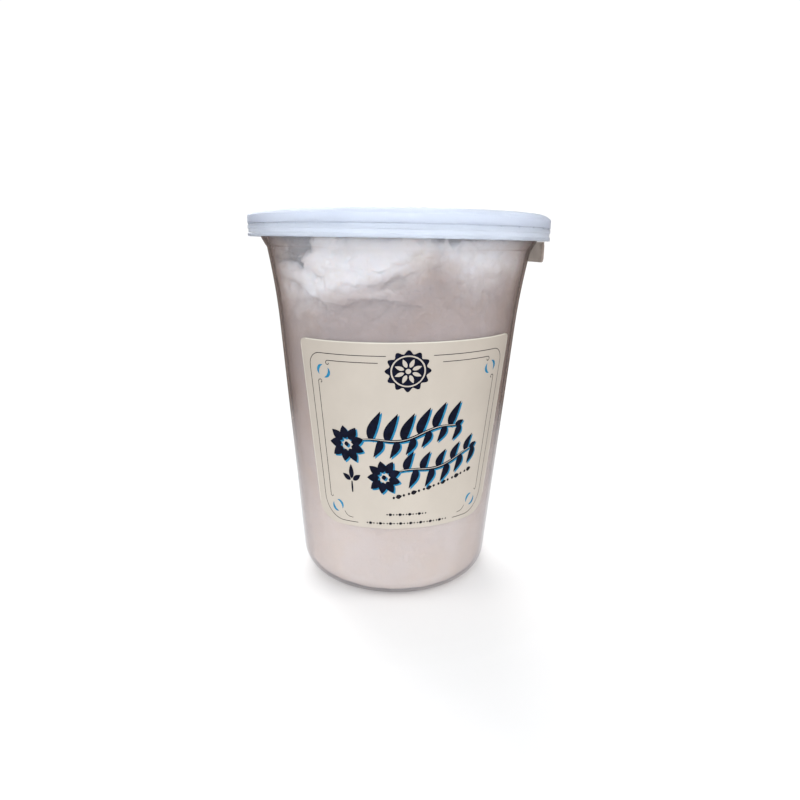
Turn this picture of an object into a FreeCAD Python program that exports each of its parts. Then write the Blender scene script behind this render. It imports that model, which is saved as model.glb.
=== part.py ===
import FreeCAD, Part
import math
import os

# A tapered clear tub of cotton candy with a snap lid, a tear strip, a pull tab and two paper labels.
# Millimetres. The origin is the centre of the foot on the surface it stands on, +Z is up and -Y is the front.

# Tub
LID_R = 59.0
TOTAL_H = 148.0
WALL = 0.8
WALL_R_AT_FLOOR = 38.35
TAPER = 0.088
CORNER_R = 10.4
FOOT_LIFT = 1.2
FOOT_WIDTH = 1.8
FOOT_SLOPE = 1.0
FLARE_Z = 105.0
LEDGE_Z = 134.8
LEDGE_R = 52.0
LEDGE_STEP = 0.45
NECK_Z = 138.3
NECK_R = 54.2
RIM_R = 57.4
RIM_TOP = 147.0
RIM_DROP = 5.0
RIM_ROUND = 0.8

# Lid
SKIRT = 0.9
SKIRT_Z = 143.05
LID_ROUND_Z = 146.0
LID_CREST_OUT = 54.8
LID_CREST_IN = 53.4
PANEL_TOP = 142.6
PANEL = 0.8
PANEL_ROUND = 1.0
INNER_ROUND_W = 1.6
INNER_ROUND_H = 1.1
PLUG_R = 53.1
PLUG_BEAD = 0.22
PLUG_BEAD_Z = 144.6
PLUG_DRAFT = 0.7
PLUG_BEVEL = 0.5
STACK_RING_R = 31.7
STACK_RING_W = 1.8
STACK_RING_H = 0.7

# Tear strip
STRIP_Z = 138.4
STRIP_TOP = 142.55
STRIP_EDGE = 1.2
STRIP_WAIST = 0.25
STRIP_START = 1.0
PEEL_FROM = 101.0
STRIP_END = 355.0
LINK_COUNT = 4
LINK_GAP = 0.15
HOOK_R = 56.5
HOOK_Z = 140.5
HOOK_H = 1.2
HOOK_BEVEL = 0.3
NIB_H = 0.42
NIB_W = 0.9
NIB_T = 0.45
NIB_PITCH = 9.0

# Pull tab
TAB_START = 1.5
TAB_END = 19.5
TAB_R = 58.7
TAB_T = 0.8
TAB_TOP = 138.25
TAB_BOTTOM = 130.1
TAB_CORNER = 2.4
RIB_COUNT = 3
RIB_PITCH = 1.7
RIB_H = 0.25
RIB_W = 0.7
RIB_LOW = 2.0
RIB_MARGIN = 3.0

# Labels
PAPER = 0.2
PAPER_GAP = 0.1
FRONT_TURN = 6.5
FRONT_LOW = 32.2
FRONT_HIGH = 103.8
FRONT_LOW_HALF = 31.6
FRONT_HIGH_HALF = 39.1
FRONT_TILT = 1.3
FRONT_TOP_CORNER = 2.0
FRONT_LOW_CORNER = 7.0
FRONT_WRAP_HALF = 75.0
FRONT_WRAP_MARGIN = 5.0
BACK_FROM = 145.0
BACK_TO = 215.0
BACK_LOW = 42.0
BACK_HIGH = 92.0
BACK_CORNER = 2.5

# Cotton candy
SOFT_GAP = 0.4
WAD_ROUND = 5.0
BASE_WAD_TOP = 52.0
MIDDLE_WAD_TOP = 98.0
SHOULDER_WAD_TOP = 122.0
TUFT_R = 48.2
TUFT_HUB = 2.0
TUFT_ROUND = 6.0
TUFT_BEVEL = 1.0
# name, from and to in degrees about Z from +X, top height
TUFTS = [
    ("floss_tuft_left", 180.0, 230.0, 129.2),
    ("floss_tuft_front_left", 230.0, 262.0, 139.2),
    ("floss_tuft_front", 262.0, 300.0, 139.8),
    ("floss_tuft_right", 300.0, 390.0, 139.4),
    ("floss_tuft_back", 30.0, 180.0, 138.0),
]

UP = FreeCAD.Vector(0, 0, 1)
ORIGIN = FreeCAD.Vector(0, 0, 0)
FULL_TURN = 360.0
FAR = 200.0
TOLERANCE = 0.01
DRAFT_ANGLE = math.atan(TAPER)


def at(point):
    """A point of a profile, (radius, height), in the XZ plane."""
    return FreeCAD.Vector(point[0], 0, point[1])


def outline(start, steps):
    """A closed face. A step is a point for a straight line, or (through, end) for an arc."""
    edges = []
    here = start
    for step in steps + [start]:
        if isinstance(step[0], tuple):
            through, there = step
            edges.append(Part.Arc(at(here), at(through), at(there)).toShape())
        else:
            there = step
            edges.append(Part.makeLine(at(here), at(there)))
        here = there
    return Part.Face(Part.Wire(edges))


def turned(start, steps, angle=FULL_TURN, first=0.0):
    """The outline revolved about Z, from the angle first."""
    solid = outline(start, steps).revolve(ORIGIN, UP, angle)
    solid.rotate(ORIGIN, UP, first)
    return solid


def on_arc(centre, radius, degrees):
    """A point of a circle in the profile plane."""
    turn = math.radians(degrees)
    return (centre[0] + radius * math.cos(turn), centre[1] + radius * math.sin(turn))


def shoulder(flat_r, top, end_r, end_z):
    """An arc that leaves a level top at flat_r, as (through, end)."""
    width = end_r - flat_r
    drop = top - end_z
    radius = (width**2 + drop**2) / (2 * drop)
    half = math.atan2(width, radius - drop) / 2
    return ((flat_r + radius * math.sin(half), top - radius * (1 - math.cos(half))), (end_r, end_z))


def wall_r(z):
    """The tub's outer radius on its straight cone and on the flare above it."""
    rise = max(0.0, z - FLARE_Z)
    end_rise = LEDGE_Z - FLARE_Z
    extra = LEDGE_R - WALL_R_AT_FLOOR - TAPER * LEDGE_Z
    return WALL_R_AT_FLOOR + TAPER * z + extra * (rise / end_rise) ** 2


def corner_centre():
    """The centre of the base corner, whose arc touches the floor and the cone."""
    below = CORNER_R * (1 - math.sin(DRAFT_ANGLE))
    return (wall_r(below) - CORNER_R * math.cos(DRAFT_ANGLE), CORNER_R)


def corner_steps(inset):
    """The base corner's arc, inset from the outside, from the floor to the cone."""
    centre = corner_centre()
    radius = CORNER_R - inset
    draft = math.degrees(DRAFT_ANGLE)
    return (on_arc(centre, radius, -45.0), on_arc(centre, radius, -draft))


def make_tub():
    centre_r = corner_centre()[0]
    foot_in = centre_r - FOOT_WIDTH
    half_flare = (FLARE_Z + LEDGE_Z) / 2
    lip_z = RIM_TOP - RIM_DROP
    inner_r = NECK_R - WALL
    outside = [
        (foot_in - FOOT_SLOPE, FOOT_LIFT),
        (foot_in, 0.0),
        (centre_r, 0.0),
        corner_steps(0.0),
        (wall_r(FLARE_Z), FLARE_Z),
        ((wall_r(half_flare), half_flare), (LEDGE_R, LEDGE_Z)),
        (LEDGE_R + LEDGE_STEP, LEDGE_Z + LEDGE_STEP),
        (NECK_R, NECK_Z),
        (NECK_R, RIM_TOP - WALL),
        (RIM_R - WALL, RIM_TOP - WALL),
        (RIM_R - WALL, lip_z),
        (RIM_R, lip_z),
        (RIM_R, RIM_TOP - RIM_ROUND),
    ]
    rim_centre = (RIM_R - RIM_ROUND, RIM_TOP - RIM_ROUND)
    mouth_centre = (inner_r + RIM_ROUND, RIM_TOP - RIM_ROUND)
    rim = [
        (on_arc(rim_centre, RIM_ROUND, 45.0), (rim_centre[0], RIM_TOP)),
        (mouth_centre[0], RIM_TOP),
        (on_arc(mouth_centre, RIM_ROUND, 135.0), (inner_r, mouth_centre[1])),
    ]
    through, corner_end = corner_steps(WALL)
    inside = [
        (inner_r, NECK_Z),
        (LEDGE_R + LEDGE_STEP - WALL, LEDGE_Z + LEDGE_STEP),
        (LEDGE_R - WALL, LEDGE_Z),
        ((wall_r(half_flare) - WALL, half_flare), (wall_r(FLARE_Z) - WALL, FLARE_Z)),
        corner_end,
        (through, (centre_r, WALL)),
        (foot_in + WALL / 2, WALL),
        (foot_in - FOOT_SLOPE + WALL / 2, FOOT_LIFT + WALL),
        (0.0, FOOT_LIFT + WALL),
    ]
    return turned((0.0, FOOT_LIFT), outside + rim + inside)


def make_lid():
    skirt_in = LID_R - SKIRT
    ceiling = TOTAL_H - SKIRT
    well_r = PLUG_R - SKIRT
    ring_in = STACK_RING_R - STACK_RING_W / 2
    ring_out = STACK_RING_R + STACK_RING_W / 2
    ring_top = PANEL_TOP + STACK_RING_H
    ring_bevel = STACK_RING_H / 2
    panel_low = PANEL_TOP - PANEL
    panel_r = well_r - PLUG_DRAFT
    panel_round = (panel_r - PANEL_ROUND, PANEL_TOP + PANEL_ROUND)
    plug_low = PLUG_R - PLUG_DRAFT
    well_round = shoulder(LID_CREST_IN, TOTAL_H, well_r, ceiling)[0]
    inner_flat = skirt_in - INNER_ROUND_W
    inner_round = shoulder(inner_flat, ceiling, skirt_in, ceiling - INNER_ROUND_H)[0]
    top = [
        (ring_in, PANEL_TOP),
        (ring_in + ring_bevel, ring_top),
        (ring_out - ring_bevel, ring_top),
        (ring_out, PANEL_TOP),
        (panel_round[0], PANEL_TOP),
        (on_arc(panel_round, PANEL_ROUND, -45.0), (panel_r, panel_round[1])),
        (well_r, ceiling),
        (well_round, (LID_CREST_IN, TOTAL_H)),
        (LID_CREST_OUT, TOTAL_H),
        shoulder(LID_CREST_OUT, TOTAL_H, LID_R, LID_ROUND_Z),
        (LID_R, SKIRT_Z),
    ]
    under = [
        (skirt_in, SKIRT_Z),
        (skirt_in, ceiling - INNER_ROUND_H),
        (inner_round, (inner_flat, ceiling)),
        (PLUG_R + PLUG_BEVEL, ceiling),
        (PLUG_R, ceiling - PLUG_BEVEL),
        (PLUG_R, PLUG_BEAD_Z + 2 * PLUG_BEAD),
        ((PLUG_R + PLUG_BEAD, PLUG_BEAD_Z), (PLUG_R, PLUG_BEAD_Z - 2 * PLUG_BEAD)),
        (plug_low, panel_low + PANEL),
        (plug_low - PANEL, panel_low),
        (0.0, panel_low),
    ]
    return turned((0.0, PANEL_TOP), top + under)


def strip_steps():
    """The tear strip's section: two proud edges, a waist between them and the hook under the tub's rim."""
    inner = LID_R - SKIRT
    waist = LID_R - STRIP_WAIST
    low_edge = STRIP_Z + STRIP_EDGE
    high_edge = STRIP_TOP - STRIP_EDGE
    hook_top = HOOK_Z + HOOK_H
    steps = [
        (LID_R, STRIP_Z),
        (LID_R, low_edge),
        (waist, low_edge + STRIP_WAIST),
        (waist, high_edge - STRIP_WAIST),
        (LID_R, high_edge),
        (LID_R, STRIP_TOP),
        (inner, STRIP_TOP),
        (inner, hook_top),
        (HOOK_R + HOOK_BEVEL, hook_top),
        (HOOK_R, hook_top - HOOK_BEVEL),
        (inner, HOOK_Z),
    ]
    return (inner, STRIP_Z), steps


def make_nib(degrees):
    """One thin bridge between the strip's top edge and the lid's skirt."""
    nib = Part.makeBox(NIB_T, NIB_W, NIB_H)
    nib.translate(FreeCAD.Vector(LID_R - (SKIRT + NIB_T) / 2, -NIB_W / 2, STRIP_TOP))
    nib.rotate(ORIGIN, UP, degrees)
    return nib


def make_strip(start_angle, end_angle):
    """A length of the tear strip between two angles, with its row of nibs."""
    gap = math.degrees(LINK_GAP / LID_R)
    length = end_angle - start_angle - gap
    first = start_angle + gap / 2
    start, steps = strip_steps()
    strip = turned(start, steps, length, first)
    nib_count = round(length / NIB_PITCH)
    for nib in range(nib_count):
        strip = strip.fuse(make_nib(first + length * (nib + 0.5) / nib_count))
    return strip.removeSplitter()


def make_link(index):
    """One bending length of the strip's leading end. Link 1 joins the part still held on the rim."""
    pitch = (PEEL_FROM - STRIP_START) / LINK_COUNT
    end_angle = PEEL_FROM - (index - 1) * pitch
    return make_strip(end_angle - pitch, end_angle)


def across_thickness(solid, thickness):
    """A thin plate's edges that run through its thickness, the lowest first."""
    found = [e for e in solid.Edges if abs(e.Length - thickness) < TOLERANCE]
    return sorted(found, key=lambda e: e.CenterOfMass.z)


def make_pull_tab():
    plate = turned(
        (TAB_R - TAB_T, TAB_BOTTOM),
        [(TAB_R, TAB_BOTTOM), (TAB_R, TAB_TOP), (TAB_R - TAB_T, TAB_TOP)],
        TAB_END - TAB_START,
        TAB_START,
    )
    corners = across_thickness(plate, TAB_T)[:2]
    tab = plate.makeFillet(TAB_CORNER, corners)
    for rib in range(RIB_COUNT):
        z = TAB_BOTTOM + RIB_LOW + rib * RIB_PITCH
        low_z = z - RIB_W / 2
        high_z = z + RIB_W / 2
        root = TAB_R - TAB_T / 2
        ridge = turned(
            (root, low_z),
            [(TAB_R, low_z), (TAB_R + RIB_H, z), (TAB_R, high_z), (root, high_z)],
            TAB_END - TAB_START - 2 * RIB_MARGIN,
            TAB_START + RIB_MARGIN,
        )
        tab = tab.fuse(ridge)
    return tab.removeSplitter()


def paper_wrap(low, high, start, end):
    """Paper on the cone between two heights, over angles counted from the front towards +X."""
    inner = PAPER_GAP
    outer = PAPER_GAP + PAPER
    return turned(
        (wall_r(low) + inner, low),
        [(wall_r(low) + outer, low), (wall_r(high) + outer, high), (wall_r(high) + inner, high)],
        end - start,
        start - 90.0,
    )


def round_corner(paper, degrees, z, radius, inward_turn, inward_z):
    """The paper with one corner rounded, by a block along the radius there with a round bite out of it."""
    block = Part.makeBox(FAR, 2 * radius, 2 * radius)
    block.translate(FreeCAD.Vector(0, -radius, z - radius))
    middle = FreeCAD.Vector(0, inward_turn * radius, z + inward_z * radius)
    bite = Part.makeCylinder(radius, FAR, middle, FreeCAD.Vector(1, 0, 0))
    tool = block.cut(bite)
    tool.rotate(ORIGIN, UP, degrees)
    return paper.cut(tool).Solids[0]


def make_front_label():
    """The front label: the paper inside a rounded outline seen square-on, turned slightly on the cone."""
    corners = [
        (-FRONT_LOW_HALF, FRONT_LOW),
        (FRONT_LOW_HALF, FRONT_LOW),
        (FRONT_HIGH_HALF, FRONT_HIGH),
        (-FRONT_HIGH_HALF, FRONT_HIGH),
        (-FRONT_LOW_HALF, FRONT_LOW),
    ]
    block = Part.Face(Part.makePolygon([at(corner) for corner in corners])).extrude(FreeCAD.Vector(0, -FAR, 0))
    low_corners = across_thickness(block, FAR)[:2]
    block = block.makeFillet(FRONT_LOW_CORNER, low_corners)
    high_corners = across_thickness(block, FAR)[-2:]
    block = block.makeFillet(FRONT_TOP_CORNER, high_corners)
    block.rotate(FreeCAD.Vector(0, 0, (FRONT_LOW + FRONT_HIGH) / 2), FreeCAD.Vector(0, 1, 0), -FRONT_TILT)
    block.rotate(ORIGIN, UP, FRONT_TURN)
    low = FRONT_LOW - FRONT_WRAP_MARGIN
    high = FRONT_HIGH + FRONT_WRAP_MARGIN
    wrap = paper_wrap(low, high, FRONT_TURN - FRONT_WRAP_HALF, FRONT_TURN + FRONT_WRAP_HALF)
    return wrap.common(block).Solids[0]


def make_back_label():
    label = paper_wrap(BACK_LOW, BACK_HIGH, BACK_FROM, BACK_TO)
    for degrees, inward_turn in ((BACK_FROM - 90.0, 1), (BACK_TO - 90.0, -1)):
        label = round_corner(label, degrees, BACK_LOW, BACK_CORNER, inward_turn, 1)
        label = round_corner(label, degrees, BACK_HIGH, BACK_CORNER, inward_turn, -1)
    return label


def floss_r(z):
    return wall_r(z) - WALL - SOFT_GAP


def make_base_wad():
    """The lowest wad, which fills the tub's rounded base corner."""
    low = FOOT_LIFT + WALL + SOFT_GAP
    high = BASE_WAD_TOP
    centre = corner_centre()
    radius = CORNER_R - WALL - SOFT_GAP
    low_r = centre[0] + math.sqrt(radius**2 - (centre[1] - low) ** 2)
    draft = math.degrees(DRAFT_ANGLE)
    low_turn = math.degrees(math.asin((low - centre[1]) / radius))
    top_bend = (floss_r(high - WAD_ROUND / 2) - WAD_ROUND / 4, high - WAD_ROUND / 4)
    return turned(
        (0.0, low),
        [
            (low_r, low),
            (on_arc(centre, radius, (low_turn - draft) / 2), on_arc(centre, radius, -draft)),
            (floss_r(high - WAD_ROUND), high - WAD_ROUND),
            (top_bend, (floss_r(high) - WAD_ROUND, high)),
            (0.0, high),
        ],
    )


def make_wad(low, high):
    """A packed wad between two heights, rounded where it meets the wall."""
    low_bend = (floss_r(low + WAD_ROUND / 2) - WAD_ROUND / 4, low + WAD_ROUND / 4)
    top_bend = (floss_r(high - WAD_ROUND / 2) - WAD_ROUND / 4, high - WAD_ROUND / 4)
    return turned(
        (0.0, low),
        [
            (floss_r(low) - WAD_ROUND, low),
            (low_bend, (floss_r(low + WAD_ROUND), low + WAD_ROUND)),
            (floss_r(high - WAD_ROUND), high - WAD_ROUND),
            (top_bend, (floss_r(high) - WAD_ROUND, high)),
            (0.0, high),
        ],
    )


def make_tuft(start, end, high):
    """A tuft on top of the wads: a rounded wedge, clear of its neighbours on both sides."""
    low = SHOULDER_WAD_TOP + SOFT_GAP
    bend = TUFT_ROUND * (1 - math.cos(math.radians(45.0)))
    clearance = math.degrees(SOFT_GAP / TUFT_R)
    shift = SOFT_GAP / math.sin(math.radians((end - start) / 2))
    middle = math.radians((start + end) / 2)
    reach = TUFT_R - shift
    wedge = turned(
        (TUFT_HUB, low),
        [
            (reach - TUFT_BEVEL, low),
            (reach, low + TUFT_BEVEL),
            (reach, high - TUFT_ROUND),
            ((reach - bend, high - bend), (reach - TUFT_ROUND, high)),
            (TUFT_HUB, high),
        ],
        end - start - clearance,
        start + clearance / 2,
    )
    wedge.translate(FreeCAD.Vector(math.cos(middle), math.sin(middle), 0) * shift)
    return wedge


def export(name, shape):
    shape.exportStep("parts/" + name + ".step")


def main():
    os.makedirs("parts", exist_ok=True)
    export("tub", make_tub())
    export("lid", make_lid())
    export("tear_strip", make_strip(PEEL_FROM, STRIP_END))
    for index in range(1, LINK_COUNT + 1):
        export(f"strip_link_{index}", make_link(index))
    export("pull_tab", make_pull_tab())
    export("front_label", make_front_label())
    export("back_label", make_back_label())
    export("floss_wad_base", make_base_wad())
    export("floss_wad_middle", make_wad(BASE_WAD_TOP + SOFT_GAP, MIDDLE_WAD_TOP))
    export("floss_wad_shoulder", make_wad(MIDDLE_WAD_TOP + SOFT_GAP, SHOULDER_WAD_TOP))
    for name, start, end, high in TUFTS:
        export(name, make_tuft(start, end, high))


main()
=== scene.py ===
import bpy
import itertools
import math
import numpy as np
from mathutils import Matrix, Vector


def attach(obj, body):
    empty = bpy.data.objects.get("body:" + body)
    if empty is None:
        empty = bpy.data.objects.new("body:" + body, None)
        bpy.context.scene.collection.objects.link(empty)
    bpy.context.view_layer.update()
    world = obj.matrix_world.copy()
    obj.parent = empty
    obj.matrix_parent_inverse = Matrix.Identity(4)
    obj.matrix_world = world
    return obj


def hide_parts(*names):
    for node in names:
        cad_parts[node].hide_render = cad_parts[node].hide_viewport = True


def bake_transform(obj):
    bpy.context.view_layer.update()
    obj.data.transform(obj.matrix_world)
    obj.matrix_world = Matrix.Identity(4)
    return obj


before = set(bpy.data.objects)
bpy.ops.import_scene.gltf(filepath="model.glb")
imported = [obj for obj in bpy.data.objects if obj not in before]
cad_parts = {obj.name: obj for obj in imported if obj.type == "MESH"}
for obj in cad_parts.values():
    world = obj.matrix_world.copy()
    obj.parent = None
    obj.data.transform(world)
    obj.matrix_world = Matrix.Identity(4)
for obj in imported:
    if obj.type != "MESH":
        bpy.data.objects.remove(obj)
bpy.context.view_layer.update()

# Lengths in this script are millimetres and become metres when a mesh is made.
# Angles about Z count from +X; "turn" counts from the front, -Y, towards +X.
MM = 0.001
rng = np.random.default_rng(11)

# ---- camera
def add_object(name, data):
    """A new object in the scene."""
    obj = bpy.data.objects.new(name, data)
    bpy.context.scene.collection.objects.link(obj)
    return obj


LENS = 29.457
SENSOR_W = 36.0
EYE = (0, -0.270, 0.13707)
LOOK_DOWN = 0.2362
LOOK_RIGHT = 0.0058
LEAN = 0.0178

camera_data = bpy.data.cameras.new("camera")
camera_data.lens = LENS
camera_data.sensor_width = SENSOR_W
camera_data.clip_start = 0.01
camera = add_object("camera", camera_data)
camera.matrix_world = (
    Matrix.Translation(EYE)
    @ Matrix.Rotation(-LOOK_RIGHT, 4, "Z")
    @ Matrix.Rotation(math.pi / 2 - LOOK_DOWN, 4, "X")
    @ Matrix.Rotation(LEAN, 4, "Z")
)
bpy.context.scene.camera = camera

# ---- shared shape of the tub
WALL = 0.8
WALL_R_AT_FLOOR = 38.35
TAPER = 0.088
FLARE_Z = 105.0
LEDGE_Z = 134.8
LEDGE_R = 52.0
LEDGE_STEP = 0.45
NECK_Z = 138.3
NECK_R = 54.2
RIM_R = 57.4
RIM_TOP = 147.0
RIM_DROP = 5.0
CORNER_R = 10.4
FOOT_LIFT = 1.2
FOOT_WIDTH = 1.8
FOOT_SLOPE = 1.0
AXIS_R = 0.02


def wall_r(z):
    """The tub's outer radius at height z, up to the ledge."""
    flare = np.maximum(0.0, z - FLARE_Z) / (LEDGE_Z - FLARE_Z)
    return WALL_R_AT_FLOOR + TAPER * z + (LEDGE_R - WALL_R_AT_FLOOR - TAPER * LEDGE_Z) * flare**2


DRAFT = math.atan(TAPER)
CORNER_X = float(wall_r(CORNER_R * (1 - math.sin(DRAFT)))) - CORNER_R * math.cos(DRAFT)


def inner_r(z):
    """The tub's inner radius at any height, with the base corner and the neck."""
    z = np.asarray(z, float)
    cone = wall_r(np.minimum(z, LEDGE_Z)) - WALL
    drop = np.clip(CORNER_R - z, 0, CORNER_R - WALL - 0.01)
    corner = CORNER_X + np.sqrt((CORNER_R - WALL) ** 2 - drop**2)
    neck = LEDGE_R - WALL + (NECK_R - LEDGE_R) * np.clip((z - LEDGE_Z) / (NECK_Z - LEDGE_Z), 0, 1)
    return np.where(z < CORNER_R, np.minimum(corner, cone), np.where(z > LEDGE_Z, neck, cone))


# ---- mesh helpers
def polar(r, angle, z):
    """A point at a radius and angle about Z."""
    return (r * math.cos(angle), r * math.sin(angle), z)


def ring_faces(base, rings, count):
    """Faces between closed rings of points, each ring count points long."""
    faces = []
    for k, j in itertools.product(range(rings), range(count)):
        a, b = base + k * count + j, base + k * count + (j + 1) % count
        faces.append((a, a + count, b + count, b))
    return faces


def new_object(name, verts, faces, body=None, sharp=35):
    """A mesh object from points in millimetres."""
    mesh = bpy.data.meshes.new(name)
    mesh.from_pydata((np.asarray(verts, float) * MM).tolist(), [], [tuple(map(int, f)) for f in faces])
    mesh.update()
    mesh.shade_smooth()
    if sharp:
        mesh.set_sharp_from_angle(angle=math.radians(sharp))
    obj = add_object(name, mesh)
    if body:
        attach(obj, body)
    return obj


def filleted(points, steps=4):
    """A closed outline of (x, y, fillet radius) corners, with the corners rounded."""
    out = []
    count = len(points)
    for i, (x, y, radius) in enumerate(points):
        here = np.array([x, y])
        if radius <= 0:
            out.append((x, y))
            continue
        before = np.array(points[i - 1][:2]) - here
        after = np.array(points[(i + 1) % count][:2]) - here
        la, lb = np.linalg.norm(before), np.linalg.norm(after)
        before, after = before / la, after / lb
        half = math.acos(max(-1, min(1, float(before @ after)))) / 2
        reach = min(radius / math.tan(half), 0.49 * la, 0.49 * lb)
        a, b = here + before * reach, here + after * reach
        for k in range(steps + 1):
            t = k / steps
            p = (1 - t) ** 2 * a + 2 * t * (1 - t) * here + t**2 * b
            out.append((float(p[0]), float(p[1])))
    return out


def arc(cx, cy, radius, start, end, steps):
    """Points of an arc in the profile plane, angles in degrees."""
    turns = np.radians(np.linspace(start, end, steps))
    return [(cx + radius * math.cos(t), cy + radius * math.sin(t), 0) for t in turns]


def plate_faces(columns, rows):
    """Faces of a closed plate: a grid of front points, then the same grid of back points, and the edge."""
    shift = columns * rows
    faces = []
    for i, j in itertools.product(range(rows - 1), range(columns - 1)):
        a = i * columns + j
        faces.append((a, a + 1, a + columns + 1, a + columns))
        faces.append((shift + a, shift + a + columns, shift + a + columns + 1, shift + a + 1))
    loop = list(range(columns)) + [i * columns + columns - 1 for i in range(1, rows)]
    loop += [(rows - 1) * columns + j for j in range(columns - 2, -1, -1)]
    loop += [i * columns for i in range(rows - 2, 0, -1)]
    for a, b in zip(loop, loop[1:] + loop[:1]):
        faces.append((b, a, shift + a, shift + b))
    return faces


def lathe(name, profile, body, start=0.0, end=360.0, segments=256, sharp=35):
    """A closed profile of (radius, height) turned about Z."""
    full = end - start > 359.9
    count = segments if full else segments + 1
    turns = np.radians(start + (end - start) * np.arange(count) / segments)
    profile = np.array([p[:2] for p in profile], float)
    n = len(profile)
    r, z = profile.T
    verts = np.stack([np.outer(np.cos(turns), r), np.outer(np.sin(turns), r), np.tile(z, (count, 1))], -1)
    faces = []
    for i in range(segments):
        a, b = i * n, ((i + 1) % count) * n
        for j in range(n):
            k = (j + 1) % n
            faces.append((a + j, a + k, b + k, b + j))
    if not full:
        faces.append(tuple(range(n)))
        faces.append(tuple(range(len(turns) * n - 1, (len(turns) - 1) * n - 1, -1)))
    return new_object(name, verts.reshape(-1, 3), faces, body, sharp)


# ---- materials
def material(name):
    """A new material with no nodes yet."""
    mat = bpy.data.materials.new(name)
    mat.use_nodes = True
    mat.node_tree.nodes.clear()
    return mat


def node(mat, kind, **inputs):
    """A shader node, its sockets set by name or by index; a value may be another node or its output."""
    made = mat.node_tree.nodes.new("ShaderNode" + kind)
    for key, value in inputs.items():
        if key.startswith("set_"):
            setattr(made, key[4:], value)
            continue
        if isinstance(value, bpy.types.Node):
            value = value.outputs[0]
        by_index = key[0] == "i" and key[1:].isdigit()
        socket = made.inputs[int(key[1:]) if by_index else key.replace("_", " ")]
        if isinstance(value, bpy.types.NodeSocket):
            mat.node_tree.links.new(value, socket)
        else:
            socket.default_value = value
    return made


def finish_material(mat, surface):
    """Joins the surface to the material's output."""
    node(mat, "OutputMaterial", Surface=surface)
    return mat


def noise(mat, scale, detail=4.0, roughness=0.55, stretch=(1, 1, 1), distortion=0.0):
    """Cloudy noise from 0 to 1, scale cells to a metre."""
    where = node(mat, "TexCoord")
    mapped = node(mat, "Mapping", Vector=where.outputs["Object"], Scale=stretch)
    shape = {"Scale": scale, "Detail": detail, "Roughness": roughness, "Distortion": distortion}
    return node(mat, "TexNoise", Vector=mapped.outputs["Vector"], **shape).outputs["Fac"]


def ramp(mat, factor, stops):
    """A factor turned into a colour; each stop is a place from 0 to 1 and its colour."""
    made = node(mat, "ValToRGB", Fac=factor)
    elements = made.color_ramp.elements
    while len(elements) < len(stops):
        elements.new(0.5)
    for element, (place, colour) in zip(elements, stops):
        element.position = place
        element.color = (*colour, 1.0)
    return made.outputs["Color"]


def grey(level):
    """A colour with no hue."""
    return (level, level, level)


def srgb(r, g, b):
    """Display colour 0 to 255 as linear light."""
    return tuple(((c / 255 + 0.055) / 1.055) ** 2.4 if c > 10 else c / 3294.6 for c in (r, g, b))


def bump(mat, height, strength, distance):
    """A surface normal raised by a height, with the distance in metres."""
    made = node(mat, "Bump", Height=height, Strength=strength, Distance=distance)
    return made.outputs["Normal"]


def multiply_add(mat, value, factor, added):
    """value * factor + added."""
    made = node(mat, "Math", set_operation="MULTIPLY_ADD", i0=value, i1=factor, i2=added)
    return made


def skin_gloss(mat, normal, head_on):
    """How much a thin clear skin reflects: head_on when seen square, rising to 0.9 at a glance."""
    facing = node(mat, "LayerWeight", Normal=normal)
    steep = node(mat, "Math", set_operation="POWER", i0=facing.outputs["Facing"], i1=5.0)
    return multiply_add(mat, steep, 0.9 - head_on, head_on)


def skinned(mat, body, gloss, normal, head_on):
    """A body under a glossy skin."""
    share = skin_gloss(mat, normal, head_on)
    shown = node(mat, "MixShader", Fac=share, i1=body, i2=gloss)
    return finish_material(mat, shown)


def clear_plastic():
    """Thin clear moulded wall: see-through, with a glossy skin and a trace of haze."""
    mat = material("clear_plastic")
    waves = bump(mat, noise(mat, 38.0, 2.0), 0.12, 0.0006)
    gloss = node(mat, "BsdfGlossy", Color=(0.9, 0.93, 0.97, 1), Roughness=0.09, Normal=waves)
    haze = node(mat, "BsdfDiffuse", Color=(0.82, 0.82, 0.88, 1), Normal=waves)
    facing = node(mat, "LayerWeight")
    # The see-through colour darkens to brown at grazing angles: partly the longer path through the wall,
    # partly a painted reflection of dark brown surroundings along the silhouettes.
    depth = ramp(
        mat,
        facing.outputs["Facing"],
        [
            (0.35, (0.975, 0.975, 0.985)), (0.62, (0.90, 0.865, 0.85)),
            (0.8, (0.72, 0.64, 0.60)), (1.0, (0.31, 0.235, 0.20)),
        ],
    )
    through = node(mat, "BsdfTransparent", Color=depth)
    cloud = ramp(mat, noise(mat, 60.0, 3.0), [(0.3, grey(0.06)), (0.75, grey(0.11))])
    body = node(mat, "MixShader", Fac=cloud, i1=through, i2=haze)
    return skinned(mat, body, gloss, waves, 0.04)


def milky_plastic():
    """The lid and strip: milky, bluish, slightly see-through moulded plastic."""
    mat = material("milky_plastic")
    grain = noise(mat, 900.0, 3.0)
    rough = ramp(mat, noise(mat, 120.0, 3.0), [(0.3, grey(0.40)), (0.7, grey(0.50))])
    tint = ramp(mat, noise(mat, 45.0, 3.0), [(0.3, (0.57, 0.63, 0.735)), (0.7, (0.61, 0.675, 0.775))])
    shader = node(
        mat, "BsdfPrincipled", Base_Color=tint, Roughness=rough, IOR=1.49, Alpha=0.78,
        set_subsurface_method="BURLEY", Subsurface_Weight=0.9, Subsurface_Radius=(1.0, 1.0, 1.1),
        Subsurface_Scale=0.012, Normal=bump(mat, grain, 0.08, 0.0002),
    )
    return finish_material(mat, shader)


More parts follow.
